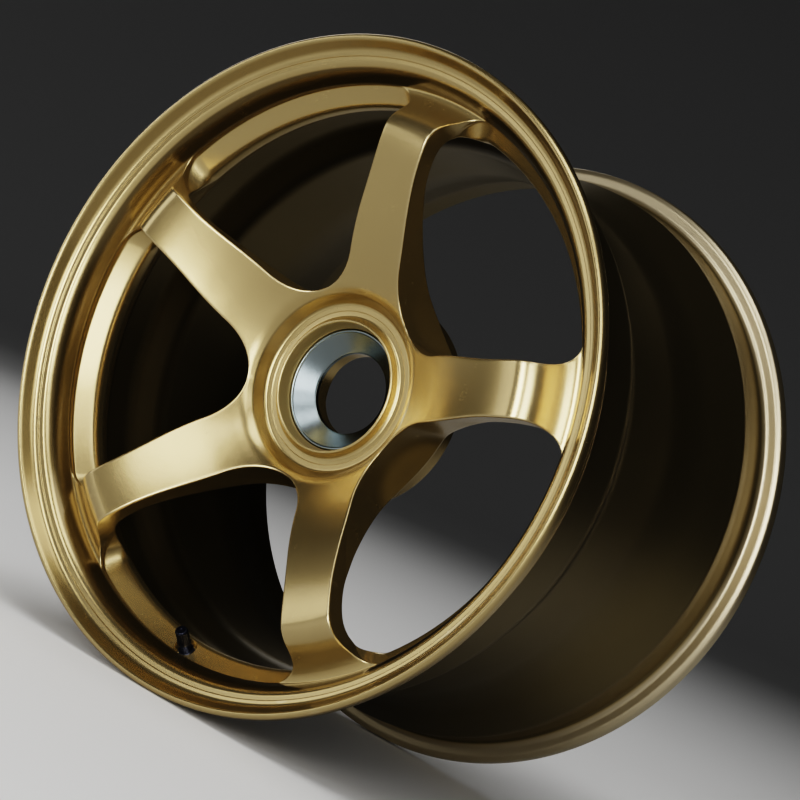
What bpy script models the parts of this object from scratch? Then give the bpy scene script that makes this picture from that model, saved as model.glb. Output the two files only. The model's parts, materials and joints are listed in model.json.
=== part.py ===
"""Forged five-spoke racing wheel rim, 19 x 12J, for a centre-lock hub.

The wheel stands upright. Its axle line is the world Y axis, its outboard
(street) face looks along -Y, and the origin is the centre of the wheel.
Profiles are written in millimetres as (radius, depth), where depth counts
inboard from the widest circle of the outboard flange.
"""
import math

import bmesh
import bpy
from mathutils import Matrix, Vector

MM = 0.001

# Rim, driving dimensions in millimetres
HALF_WIDTH = 161.9          # outboard flange circle to the wheel's mid plane
RIM_STEPS = 60              # facets around the wheel
FLANGE_EDGE = 3.5           # how far a flange's rounded edge stands past its widest circle
BEAD_RADIUS = 243.9         # 19 inch bead seat
FLANGE_RADIUS = 261.2       # J flange tip

# Spokes and windows
SPOKES = 5
SECTOR = 360.0 / SPOKES
SPOKE_PHASE = 14.8          # degrees from +X to the first spoke's centre line
SPOKE_HALF = 21.0           # half the width of a spoke at its slimmest
FLARE_LENGTH = 72.0         # stretch over which a spoke widens towards the hub
FILLET_CENTRE = 124.2       # distance of the window's inner arc centre from the axle
LEDGE_RADIUS = 219.0        # outer edge of the through window
POCKET_RADIUS = 231.2       # outer edge of the pocket in front of the ledge
ARC_STEPS = 5
SIDE_STEPS = 3
CORNER_STEPS = 4
OUTER_STEPS = 4

# Hub
MOUNT_DEPTH = 113.9         # hub mounting face, 48 mm inset from the mid plane
PILOT_RADIUS = 42.05        # recess for the hub's pilot
THROAT_RADIUS = 32.6        # passage for the hub's threaded snout
SEAT_BORE = 48.3            # recess that holds the hardened cone seat
SEAT_FLOOR = 88.3
PIN_COUNT = 15
PIN_CIRCLE = 65.0           # radius of the drive pin circle
PIN_POCKET = 10.3
PIN_FLOOR = 89.4
BUSH_OUTER = 10.0
BUSH_BORE = 7.5
BUSH_FRONT = 89.8
BUSH_BACK = 113.4
BUSH_CHAMFER = 1.0
BUSH_STEPS = 14

# Rear lightening pockets, one behind each spoke
RELIEF_HALF = 11.0
RELIEF_END_HALF = 6.0
RELIEF_DRAFT = 3.0
RELIEF_START = 112.0
RELIEF_END = 196.0
CLEAR = 40.0                # how far a cutter runs past the metal

# Valve: its profiles are (radius, reach), with reach counted outwards from the spot face
VALVE_ANGLE = 266.8         # degrees, middle of the lower window
VALVE_TILT = 40.6           # lean of the valve axis from the axle direction
SPOT_RADIUS = 232.9
SPOT_DEPTH = 45.4
SPOT_FACE = 9.2
RIM_AT_VALVE = 4.5          # metal left between spot face and tyre side
VALVE_HOLE = 5.85
VALVE_STEPS = 18
GAP = 0.3                   # clearance between neighbouring pieces

GOLD = (0.56, 0.42, 0.20)
STEEL = (0.56, 0.58, 0.60)
ANODISED = (0.34, 0.35, 0.37)
BLACK = (0.012, 0.013, 0.020)
RUBBER = (0.018, 0.018, 0.018)
BRASS = (0.62, 0.45, 0.16)
SPRING = (0.50, 0.50, 0.50)


def clear_scene():
    for item in list(bpy.data.objects):
        bpy.data.objects.remove(item, do_unlink=True)


def make_material(name, colour, roughness, metallic):
    material = bpy.data.materials.new(name)
    material.use_nodes = True
    shader = material.node_tree.nodes["Principled BSDF"]
    shader.inputs["Base Color"].default_value = (*colour, 1.0)
    shader.inputs["Roughness"].default_value = roughness
    shader.inputs["Metallic"].default_value = metallic
    return material


def make_object(name, mesh_data, material=None):
    item = bpy.data.objects.new(name, mesh_data)
    bpy.context.scene.collection.objects.link(item)
    if material:
        item.data.materials.append(material)
    return item


def finish_mesh(name, bm, sharp=35.0):
    """Turn a bmesh into a mesh with outward faces and smooth round stretches."""
    bmesh.ops.remove_doubles(bm, verts=bm.verts, dist=0.00001)
    bmesh.ops.recalc_face_normals(bm, faces=bm.faces)
    data = bpy.data.meshes.new(name)
    bm.to_mesh(data)
    bm.free()
    data.shade_smooth()
    data.set_sharp_from_angle(angle=math.radians(sharp))
    return data


def spun_mesh(name, profile, steps, wheel_axis=False):
    """Spin a closed (radius, along) profile about local Z, or about the wheel's Y axis."""
    bm = bmesh.new()
    axis = Vector((0, 1, 0)) if wheel_axis else Vector((0, 0, 1))
    corners = []
    for radius, along in profile:
        place = (radius, along, 0) if wheel_axis else (radius, 0, along)
        corners.append(bm.verts.new(Vector(place) * MM))
    edges = [bm.edges.new((a, b)) for a, b in zip(corners, corners[1:] + corners[:1])]
    bmesh.ops.spin(bm, geom=corners + edges, cent=(0, 0, 0), axis=axis,
                   angle=math.tau, steps=steps, use_merge=False)
    return finish_mesh(name, bm)


def wheel_profile():
    """Section of the whole forging: flanges, barrel, spoke disc and hub."""
    mid = HALF_WIDTH

    def at(points):
        return [(radius, depth - mid) for radius, depth in points]

    hub_front = [(SEAT_BORE, SEAT_FLOOR), (SEAT_BORE, 70.8), (50.8, 59.6), (52.8, 59.6),
                 (54.6, 64.8), (66.0, 65.0), (71.6, 56.0)]
    spoke_face = [(77.0, 50.8), (95.0, 39.8), (120.0, 26.2), (145.0, 15.0), (168.0, 6.6),
                  (186.0, 1.8), (196.0, 0.6), (203.0, 2.8), (212.0, 11.8), (221.0, 22.8),
                  (227.0, 26.6)]
    lip = [(POCKET_RADIUS, 27.2), (236.5, 15.0), (242.0, 8.0), (251.0, 4.8)]
    tip = [(256.8, -FLANGE_EDGE), (259.2, -FLANGE_EDGE), (FLANGE_RADIUS, 0.0),
           (260.2, 8.0), (256.5, 9.5)]
    front_seat = [(248.0, 9.5), (BEAD_RADIUS, 15.0), (242.6, 31.0), (243.5, 38.5), (242.6, 44.0)]
    well = [(234.5, 51.0), (234.5, 98.0), (230.0, 106.0), (219.5, 126.0), (219.5, 205.0),
            (225.0, 234.0), (242.0, 277.5)]
    outside = lip + tip + front_seat + well
    rear_seat = [(243.5, 284.0), (242.6, 290.0)]
    rear_half = [(radius, 2 * mid - depth) for radius, depth in front_seat[:2][::-1]]
    rear_tip = [(radius, 2 * mid - depth) for radius, depth in tip[::-1]]
    inside = [(250.0, 321.0), (239.0, 315.0), (238.6, 288.0), (220.8, 235.0), (215.2, 205.0),
              (215.2, 126.0), (228.0, 102.0), (229.6, 95.0), (229.6, 71.0)]
    spoke_back = [(221.5, 63.0), (215.0, 45.0), (206.0, 27.0), (195.0, 20.0), (178.0, 21.0),
                  (157.0, 30.5), (131.0, 47.5), (100.0, 79.5), (88.0, 95.0), (83.5, 101.0)]
    hub_back = [(83.5, 112.4), (82.0, MOUNT_DEPTH), (PILOT_RADIUS + 1.0, MOUNT_DEPTH),
                (PILOT_RADIUS, 112.9), (PILOT_RADIUS, 101.0), (34.4, 101.0),
                (THROAT_RADIUS, 99.2), (THROAT_RADIUS, SEAT_FLOOR)]
    return at(hub_front + spoke_face + outside + rear_seat + rear_half + rear_tip
              + inside + spoke_back + hub_back)


def window_half(apex, inset, corner, outer):
    """Half a window outline, from its inner apex to its outer middle, as (x, z) points.

    x runs along the window's centre line and z towards the next spoke. The inner
    end is an arc about FILLET_CENTRE, the side follows the spoke's edge and the
    outer end turns through a corner arc into the rim circle.
    """
    half_sector = math.radians(SECTOR / 2)
    fillet = FILLET_CENTRE - apex
    points = []
    for step in range(ARC_STEPS + 1):
        turn = math.pi - (math.pi / 2 - half_sector) * step / ARC_STEPS
        points.append((FILLET_CENTRE + fillet * math.cos(turn), fillet * math.sin(turn)))

    def beside_spoke(along, across):
        return (along * math.cos(half_sector) + across * math.sin(half_sector),
                along * math.sin(half_sector) - across * math.cos(half_sector))

    start = FILLET_CENTRE * math.cos(half_sector)
    root = FILLET_CENTRE * math.sin(half_sector) - fillet
    slim = SPOKE_HALF + inset
    for step in range(1, SIDE_STEPS + 1):
        along = FLARE_LENGTH * step / SIDE_STEPS
        fade = 0.5 + 0.5 * math.cos(math.pi * along / FLARE_LENGTH)
        points.append(beside_spoke(start + along, slim + (root - slim) * fade))
    middle = math.sqrt((outer - corner) ** 2 - (slim + corner) ** 2)
    facing = math.atan2(slim + corner, middle)
    for step in range(CORNER_STEPS + 1):
        turn = (math.pi / 2 + facing) * step / CORNER_STEPS
        points.append(beside_spoke(middle + corner * math.sin(turn),
                                   slim + corner - corner * math.cos(turn)))
    last = half_sector - facing
    for step in range(1, OUTER_STEPS + 1):
        angle = last * (1 - step / OUTER_STEPS)
        points.append((outer * math.cos(angle), outer * math.sin(angle)))
    return points


def window_ring(depth, apex, inset, corner, outer):
    half = window_half(apex, inset, corner, outer)
    mirrored = [(x, -z) for x, z in half[-2:0:-1]]
    return [Vector((x, depth - HALF_WIDTH, z)) * MM for x, z in half + mirrored]


def loft_mesh(name, rings):
    """Closed solid through rings of equally many points."""
    bm = bmesh.new()
    loops = [[bm.verts.new(point) for point in ring] for ring in rings]
    count = len(loops[0])
    for near, far in zip(loops, loops[1:]):
        for i in range(count):
            j = (i + 1) % count
            bm.faces.new((near[i], near[j], far[j], far[i]))
    bm.faces.new(loops[0])
    bm.faces.new(loops[-1][::-1])
    return finish_mesh(name, bm)


def window_cutter_mesh():
    """One window: front pocket, sloping ledge, through hole and scooped hub end."""
    rings = [
        window_ring(-40.0, 76.5, 0.0, 23.0, POCKET_RADIUS),
        window_ring(27.2, 76.5, 0.0, 23.0, POCKET_RADIUS),
        window_ring(33.0, 76.5, 0.4, 22.0, POCKET_RADIUS + 1.8),
        window_ring(45.0, 76.6, 1.0, 17.0, LEDGE_RADIUS),
        window_ring(75.0, 78.0, 1.6, 17.0, LEDGE_RADIUS),
        window_ring(99.0, 85.0, 1.8, 17.0, LEDGE_RADIUS),
        window_ring(106.0, 86.0, 1.8, 17.0, LEDGE_RADIUS),
    ]
    return loft_mesh("window_cutter", rings)


def cylinder_mesh(name, radius, low, high, steps):
    bm = bmesh.new()
    bmesh.ops.create_cone(bm, cap_ends=True, segments=steps, radius1=radius * MM,
                          radius2=radius * MM, depth=(high - low) * MM,
                          matrix=Matrix.Translation((0, 0, (high + low) / 2 * MM)))
    return finish_mesh(name, bm)


def relief_cutter_mesh():
    """Shallow pocket in the back of a spoke, following the slope of its rear face."""
    floor = [(RELIEF_START, 58.0), (131.0, 40.5), (157.0, 24.0), (178.0, 14.8),
             (RELIEF_END, 13.6)]
    bm = bmesh.new()
    rows = []
    for radius, depth in floor:
        half = RELIEF_END_HALF if radius in (RELIEF_START, RELIEF_END) else RELIEF_HALF
        mouth = half + RELIEF_DRAFT
        ring = [(radius, depth, -half), (radius, depth, half),
                (radius, depth + CLEAR, mouth), (radius, depth + CLEAR, -mouth)]
        rows.append([bm.verts.new(Vector((x, y - HALF_WIDTH, z)) * MM) for x, y, z in ring])
    for near, far in zip(rows, rows[1:]):
        for i in range(4):
            j = (i + 1) % 4
            bm.faces.new((near[i], near[j], far[j], far[i]))
    bm.faces.new(rows[0])
    bm.faces.new(rows[-1][::-1])
    return finish_mesh("relief_cutter", bm)


def wheel_turn(degrees):
    """Rotation about the axle that takes +X towards +Z."""
    return Matrix.Rotation(-math.radians(degrees), 4, "Y")


def axle_frame(radius, depth, degrees):
    """Frame at a point of the wheel whose Z axis points inboard along the axle."""
    stand = Matrix.Translation(Vector((radius, depth - HALF_WIDTH, 0)) * MM)
    return wheel_turn(degrees) @ stand @ Matrix.Rotation(-math.pi / 2, 4, "X")


def valve_frame():
    """Frame on the valve's spot face whose Z axis points out along the valve."""
    tilt = math.radians(VALVE_TILT)
    outwards = Vector((-math.sin(tilt), -math.cos(tilt), 0))
    across = Vector((0, 0, 1))
    third = across.cross(outwards)
    turn = Matrix((third, across, outwards)).transposed().to_4x4()
    stand = Matrix.Translation(Vector((SPOT_RADIUS, SPOT_DEPTH - HALF_WIDTH, 0)) * MM)
    return wheel_turn(VALVE_ANGLE) @ stand @ turn


def add_cutter(target, mesh_data, placement):
    cutter = make_object("cut_" + mesh_data.name, mesh_data)
    cutter.matrix_world = placement
    cutter.hide_render = True
    cutter.display_type = "WIRE"
    cut = target.modifiers.new("cut", "BOOLEAN")
    cut.operation = "DIFFERENCE"
    cut.solver = "EXACT"
    cut.object = cutter


def merge_cutters(name, mesh_data, placements):
    """Join equal, separate cutters into one mesh so that one Boolean makes all cuts."""
    bm = bmesh.new()
    for placement in placements:
        part = bmesh.new()
        part.from_mesh(mesh_data)
        part.transform(placement)
        copy = bpy.data.meshes.new("copy")
        part.to_mesh(copy)
        part.free()
        bm.from_mesh(copy)
        bpy.data.meshes.remove(copy)
    data = bpy.data.meshes.new(name)
    bm.to_mesh(data)
    bm.free()
    return data


def build_forging(gold):
    forging = make_object("wheel_forging",
                          spun_mesh("wheel_forging", wheel_profile(), RIM_STEPS, True), gold)
    windows = [wheel_turn(SPOKE_PHASE + SECTOR * (k + 0.5)) for k in range(SPOKES)]
    reliefs = [wheel_turn(SPOKE_PHASE + SECTOR * k) for k in range(SPOKES)]
    pins = [axle_frame(PIN_CIRCLE, PIN_FLOOR, SPOKE_PHASE + 360.0 * k / PIN_COUNT)
            for k in range(PIN_COUNT)]
    pin_hole = cylinder_mesh("pin_hole", PIN_POCKET, 0.0, CLEAR, BUSH_STEPS)
    spot = cylinder_mesh("valve_spot_face", SPOT_FACE, 0.0, CLEAR, VALVE_STEPS)
    seal_face = cylinder_mesh("valve_seal_face", SPOT_FACE, -CLEAR, -RIM_AT_VALVE, VALVE_STEPS)
    hole = cylinder_mesh("valve_hole", VALVE_HOLE, -2 * RIM_AT_VALVE, RIM_AT_VALVE, VALVE_STEPS)
    add_cutter(forging, merge_cutters("windows", window_cutter_mesh(), windows), Matrix())
    add_cutter(forging, merge_cutters("reliefs", relief_cutter_mesh(), reliefs), Matrix())
    add_cutter(forging, merge_cutters("pin_holes", pin_hole, pins), Matrix())
    for mesh_data in (spot, seal_face, hole):
        add_cutter(forging, mesh_data, valve_frame())


def build_seat(steel):
    """Hardened ring with the cone that the centre nut bears on."""
    profile = [(48.0, 72.4), (48.0, 88.0), (32.4, 88.0), (32.0, 87.6), (32.0, 84.4),
               (46.4, 71.4), (47.0, 71.4)]
    profile = [(radius, depth - HALF_WIDTH) for radius, depth in profile]
    make_object("centre_lock_seat", spun_mesh("centre_lock_seat", profile, 48, True), steel)


def build_bushes(metal):
    """Drive pin bushes pressed into the mounting face."""
    length = BUSH_BACK - BUSH_FRONT
    profile = [(BUSH_OUTER, 0.0), (BUSH_OUTER, length), (BUSH_BORE + BUSH_CHAMFER, length),
               (BUSH_BORE, length - BUSH_CHAMFER), (BUSH_BORE, 0.0)]
    shared = spun_mesh("drive_bush", profile, BUSH_STEPS)
    shared.materials.append(metal)
    for k in range(PIN_COUNT):
        bush = make_object(f"drive_bush_{k + 1:02d}", shared)
        bush.matrix_world = axle_frame(PIN_CIRCLE, BUSH_FRONT,
                                       SPOKE_PHASE + 360.0 * k / PIN_COUNT)


def build_valve_nut(holder, metal):
    """Hexagon nut, 12 mm across flats."""
    flats, bore, low, high = 12.0, 4.3, 1.8, 7.3
    bm = bmesh.new()
    corner = flats / 2 / math.cos(math.pi / 6)
    bmesh.ops.create_cone(bm, cap_ends=True, segments=6, radius1=corner * MM,
                          radius2=corner * MM, depth=(high - low) * MM,
                          matrix=Matrix.Translation((0, 0, (high + low) / 2 * MM)))
    nut = make_object("valve_nut", finish_mesh("valve_nut", bm), metal)
    nut.parent = holder
    bore_mesh = cylinder_mesh("nut_bore", bore, low - 5.0, high + 5.0, VALVE_STEPS)
    add_cutter(nut, bore_mesh, holder.matrix_world)


def build_core_spring(holder, metal):
    """Coil spring under the plunger, drawn at its compressed length."""
    coil, wire, low, high, turns = 1.55, 0.24, 2.6, 4.1, 2.5
    around, sides = 30, 6
    bm = bmesh.new()
    rows = []
    for step in range(around + 1):
        angle = math.tau * turns * step / around
        outward = Vector((math.cos(angle), math.sin(angle), 0))
        rise = low + (high - low) * step / around
        ring = []
        for side in range(sides):
            turn = math.tau * side / sides
            place = outward * (coil + wire * math.cos(turn))
            place.z = rise + wire * math.sin(turn)
            ring.append(bm.verts.new(place * MM))
        rows.append(ring)
    for near, far in zip(rows, rows[1:]):
        for i in range(sides):
            j = (i + 1) % sides
            bm.faces.new((near[i], near[j], far[j], far[i]))
    bm.faces.new(rows[0])
    bm.faces.new(rows[-1][::-1])
    data = bpy.data.meshes.new("valve_core_spring")
    bmesh.ops.recalc_face_normals(bm, faces=bm.faces)
    bm.to_mesh(data)
    bm.free()
    data.shade_smooth()
    make_object("valve_core_spring", data, metal).parent = holder


def build_valve(black, rubber, brass, spring):
    holder = make_object("valve_axis", None)
    holder.matrix_world = valve_frame()
    bpy.context.view_layer.update()
    head = RIM_AT_VALVE + GAP
    turned = {
        "valve_grommet": (rubber, [(7.8, -head - 2.4), (7.8, -head), (5.5, -head), (5.5, -0.4),
                                   (4.3, -0.4), (4.3, -head - 2.4)]),
        "valve_stem": (black, [(7.0, -10.2), (7.0, -7.5), (4.0, -7.5), (4.0, 13.6),
                               (3.8, 14.0), (3.8, 23.6), (3.4, 24.0), (2.7, 24.0),
                               (2.7, 2.0), (1.5, 2.0), (1.5, -10.2)]),
        "valve_washer": (black, [(7.4, GAP), (7.4, 1.5), (4.3, 1.5), (4.3, GAP)]),
        "valve_core_body": (brass, [(2.4, 8.0), (2.4, 21.5), (0.9, 21.5), (0.9, 8.0)]),
        "valve_core_pin": (brass, [(2.0, 5.9), (2.0, 6.4), (0.6, 6.4), (0.6, 23.2),
                                   (0.0, 23.2), (0.0, 5.9)]),
        "valve_core_seal": (rubber, [(2.2, 6.7), (2.2, 7.7), (0.9, 7.7), (0.9, 6.7)]),
        "valve_cap": (black, [(5.0, 14.4), (5.0, 27.4), (4.3, 28.2), (0.0, 28.2),
                              (0.0, 26.2), (4.2, 26.2), (4.2, 14.4)]),
        "valve_cap_seal": (rubber, [(3.7, 24.4), (3.7, 25.8), (1.6, 25.8), (1.6, 24.4)]),
    }
    for name, (material, profile) in turned.items():
        piece = make_object(name, spun_mesh(name, profile, VALVE_STEPS), material)
        piece.parent = holder
    build_valve_nut(holder, black)
    build_core_spring(holder, spring)


def main():
    clear_scene()
    gold = make_material("gold_paint", GOLD, 0.38, 0.85)
    steel = make_material("seat_steel", STEEL, 0.28, 1.0)
    anodised = make_material("bush_alloy", ANODISED, 0.40, 1.0)
    black = make_material("black_anodise", BLACK, 0.30, 0.6)
    rubber = make_material("rubber", RUBBER, 0.75, 0.0)
    brass = make_material("brass", BRASS, 0.35, 1.0)
    spring = make_material("spring_steel", SPRING, 0.35, 1.0)
    build_forging(gold)
    build_seat(steel)
    build_bushes(anodised)
    build_valve(black, rubber, brass, spring)


main()
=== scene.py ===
"""Looks of the forged racing wheel rim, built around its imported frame.

Blender units are metres, world +Z is up and the axle is world Y. Sizes of the wheel and the
valve are in millimetres, those of the stage, lamps and camera in metres. A wheel profile is
written as (radius, depth, blend): depth counts inboard from the widest circle of the outboard
flange, and blend is how far a rounded corner reaches along both of its sides.
"""

import json
import math

import bmesh
import bpy
import numpy as np
from mathutils import Matrix, Vector


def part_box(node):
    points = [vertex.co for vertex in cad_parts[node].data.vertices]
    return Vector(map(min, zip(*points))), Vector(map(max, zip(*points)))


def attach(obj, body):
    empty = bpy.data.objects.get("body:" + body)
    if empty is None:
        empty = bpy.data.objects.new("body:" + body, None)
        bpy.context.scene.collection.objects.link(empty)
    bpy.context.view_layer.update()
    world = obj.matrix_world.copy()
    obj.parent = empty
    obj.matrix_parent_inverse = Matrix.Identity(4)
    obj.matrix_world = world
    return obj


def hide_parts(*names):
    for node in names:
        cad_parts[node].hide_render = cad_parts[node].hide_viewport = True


MM = 0.001
TAU = math.tau

# Wheel, driving dimensions in millimetres
FLANGE_EDGE = 3.5           # how far a flange's rounded edge stands past its widest circle
SPOKES = 5
HALF_SECTOR = math.pi / SPOKES
SPOKE_HALF = 21.0           # half the width of a spoke at its slimmest
FLARE_LENGTH = 72.0         # stretch over which a spoke widens towards the hub
FILLET_CENTRE = 124.2       # distance of the window's inner arc centre from the axle
APEX = 76.5                 # innermost point of a window
POCKET_RADIUS = 231.2
LEDGE_RADIUS = 219.0
SPOKE_REACH = 1.6           # rounding of a spoke's front edges
FOOT_REACH = 0.7            # rounding of the pocket's outer edge, at the foot of the lip
REAR_REACH = 1.2            # rounding of the windows' rear edges

# How finely half a sector is divided
ARC_STEPS = 12
SIDE_STEPS = 24
CORNER_STEPS = 12
OUTER_STEPS = 12
SPOKE_COLUMNS = 16
EDGE_STEPS = 4

WALL_LEVELS = np.arange(2.0, 104.0, 3.0)    # depths of the rows in a window's wall
# How far a spoke's rear columns lie from its centre line: closest at the pocket's walls
POCKET_COLUMNS = [15.2, 13.6, 12.8, 12.4, 12.0, 11.6, 11.2, 10.8, 10.2, 9.2, 7.4, 5.2, 2.6, 0.0]
HALVINGS = 30               # steps of the search for a window's rear edge

CLEAR = 40.0                # how far a cutter runs past the metal


# ---------------------------------------------------------------- curves

def soften(points, steps=5):
    """Polyline of (a, b, blend) points with its corners rounded, as an array."""
    corners = [np.array(point[:2], float) for point in points]
    reaches = [point[2] if len(point) > 2 else 0.0 for point in points]
    out = []
    for k, (here, reach) in enumerate(zip(corners, reaches)):
        if not reach or k in (0, len(corners) - 1):
            out.append(here)
            continue
        back, ahead = corners[k - 1] - here, corners[k + 1] - here
        start = here + back * min(0.5, reach / np.linalg.norm(back))
        end = here + ahead * min(0.5, reach / np.linalg.norm(ahead))
        for t in np.linspace(0.0, 1.0, steps):
            out.append((1 - t) ** 2 * start + 2 * t * (1 - t) * here + t * t * end)
    return np.array(out)


def soft_ring(points, steps=5):
    """Closed profile, its corners rounded but for the one it starts at."""
    return soften(points + points[:1], steps)[1:]


def spline(points, spacing):
    """Smooth curve through (a, b) points, sampled about every spacing millimetres."""
    knots = np.array(points, float)
    chord = np.linalg.norm(np.diff(knots, axis=0), axis=1)
    along = np.concatenate(([0.0], np.cumsum(chord)))
    slope = np.gradient(knots, along, axis=0)
    out = []
    for k, length in enumerate(chord):
        t = np.linspace(0.0, 1.0, max(2, round(length / spacing)), endpoint=False)[:, None]
        out.append((1 + 2 * t) * (1 - t) ** 2 * knots[k] + t * t * (3 - 2 * t) * knots[k + 1]
                   + length * (t * (1 - t) ** 2 * slope[k] - t * t * (1 - t) * slope[k + 1]))
    return np.vstack(out + [knots[-1:]])


def smooth_step(value, low, high):
    t = np.clip((np.asarray(value, float) - low) / (high - low), 0.0, 1.0)
    return t * t * (3 - 2 * t)


def bezier(start, corner, end, steps):
    """Rows of a rounded edge; start, corner and end are arrays of points."""
    rows = []
    for t in np.linspace(0.0, 1.0, steps + 1):
        rows.append((1 - t) ** 2 * start + 2 * t * (1 - t) * corner + t * t * end)
    return np.array(rows)


# ---------------------------------------------------------------- meshes

def finish_mesh(name, bm, sharp=35.0):
    """Weld a bmesh, face it outwards and shade its round stretches smooth."""
    bmesh.ops.remove_doubles(bm, verts=bm.verts, dist=0.000004)
    bmesh.ops.dissolve_degenerate(bm, edges=bm.edges, dist=0.000002)
    bmesh.ops.recalc_face_normals(bm, faces=bm.faces)
    data = bpy.data.meshes.new(name)
    bm.to_mesh(data)
    bm.free()
    data.shade_smooth()
    data.set_sharp_from_angle(angle=math.radians(sharp))
    return data


def grid_faces(rows, columns, wrap_rows=False, wrap_columns=False):
    """Quads over a rows x columns array of vertices, as an array of indices."""
    index = np.arange(rows * columns).reshape(rows, columns)
    if wrap_rows:
        index = np.vstack((index, index[:1]))
    if wrap_columns:
        index = np.hstack((index, index[:, :1]))
    return np.stack((index[:-1, :-1], index[:-1, 1:], index[1:, 1:], index[1:, :-1]),
                    axis=-1).reshape(-1, 4)


def mesh_from_arrays(name, points, faces, sharp=35.0):
    raw = bpy.data.meshes.new(name + "_raw")
    raw.from_pydata(points.tolist(), [], faces.tolist())
    bm = bmesh.new()
    bm.from_mesh(raw)
    bpy.data.meshes.remove(raw)
    return finish_mesh(name, bm, sharp)


def add_piece(name, data, material, body, node):
    """Put a finished mesh into the scene as the piece that stands for a CAD node."""
    piece = bpy.data.objects.new(name, data)
    bpy.context.scene.collection.objects.link(piece)
    piece.data.materials.clear()
    piece.data.materials.append(material)
    even = piece.modifiers.new("even_shading", "WEIGHTED_NORMAL")
    even.keep_sharp = True
    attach(piece, body)
    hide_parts(node)


def lathe_mesh(name, profile, steps, place, ripple=None, sharp=35.0):
    """Turn a closed (radius, along) profile about the Z axis of the frame place.

    ripple(radius, along, angle), if given, returns the radius with its flutes or thread.
    """
    profile = np.asarray(profile, float)
    angle = np.arange(steps) * TAU / steps
    radius = np.repeat(profile[:, :1], steps, axis=1)
    along = np.repeat(profile[:, 1:2], steps, axis=1)
    if ripple:
        radius = ripple(radius, along, angle[None, :])
    points = np.stack((radius * np.cos(angle), radius * np.sin(angle), along), axis=-1) * MM
    spin = np.array(place.to_3x3())
    points = points.reshape(-1, 3) @ spin.T + np.array(place.translation)
    return mesh_from_arrays(name, points, grid_faces(len(profile), steps, True, True), sharp)


# ---------------------------------------------------------------- the wheel's frame

def wheel_sizes():
    """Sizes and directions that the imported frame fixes."""
    low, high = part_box("wheel_forging")
    seat_low, seat_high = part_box("centre_lock_seat")
    mounts = {mount["name"]: mount for mount in frame["record"]["mounts"]}
    hub = mounts["hub_mounting_face"]["pos_m"]
    half_width = high.y / MM - FLANGE_EDGE
    return {
        "flange": high.x / MM,
        "half_width": half_width,
        "mount_depth": hub[1] / MM + half_width,
        "phase": math.atan2(hub[2], hub[0]),
        "seat_front": seat_low.y / MM + half_width,
        "seat_back": seat_high.y / MM + half_width,
        "floor": low.z,
    }


def valve_place():
    """Frame on the valve's spot face, from the joint that the cap turns on."""
    joint = next(item for item in frame["joints"] if item["name"] == "cap_turn")
    outwards = Vector(joint["axis"]).normalized()
    across = outwards.cross(Vector((0, 1, 0))).normalized()
    turn = Matrix((across, outwards.cross(across), outwards)).transposed().to_4x4()
    return Matrix.Translation(Vector(joint["pos_m"])) @ turn


def bush_place(node):
    """Frame at the front end of a drive pin bush, looking inboard, and the bush's length."""
    low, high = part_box(node)
    centre = (low + high) / 2
    stand = Matrix.Translation(Vector((centre.x, low.y, centre.z)))
    return stand @ Matrix.Rotation(-math.pi / 2, 4, "X"), (high.y - low.y) / MM


# ---------------------------------------------------------------- window outline

def outline(apex, inset, corner, outer):
    """Half a window outline as (x, z) points, x along the window's centre line.

    It runs from the inner apex round the inner arc, along the spoke, through the
    corner arc and along the rim circle to the middle of the outer side.
    """
    fillet = FILLET_CENTRE - apex
    turn = np.linspace(math.pi, math.pi / 2 + HALF_SECTOR, ARC_STEPS + 1)
    inner = np.stack((FILLET_CENTRE + fillet * np.cos(turn), fillet * np.sin(turn)), axis=-1)

    start = FILLET_CENTRE * math.cos(HALF_SECTOR)
    root = FILLET_CENTRE * math.sin(HALF_SECTOR) - fillet
    slim = SPOKE_HALF + inset
    middle = math.sqrt((outer - corner) ** 2 - (slim + corner) ** 2)
    facing = math.atan2(slim + corner, middle)
    along = np.linspace(start, middle, SIDE_STEPS + 1)[1:]
    fade = 0.5 + 0.5 * np.cos(math.pi * np.clip((along - start) / FLARE_LENGTH, 0.0, 1.0))
    across = slim + (root - slim) * fade
    turn = np.linspace(0.0, math.pi / 2 + facing, CORNER_STEPS + 1)[1:]
    along = np.concatenate((along, middle + corner * np.sin(turn)))
    across = np.concatenate((across, slim + corner - corner * np.cos(turn)))
    side = np.stack((along * math.cos(HALF_SECTOR) + across * math.sin(HALF_SECTOR),
                     along * math.sin(HALF_SECTOR) - across * math.cos(HALF_SECTOR)), axis=-1)

    angle = np.linspace(HALF_SECTOR - facing, 0.0, OUTER_STEPS + 1)[1:]
    rim = np.stack((outer * np.cos(angle), outer * np.sin(angle)), axis=-1)
    return np.vstack((inner, side, rim))


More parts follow.
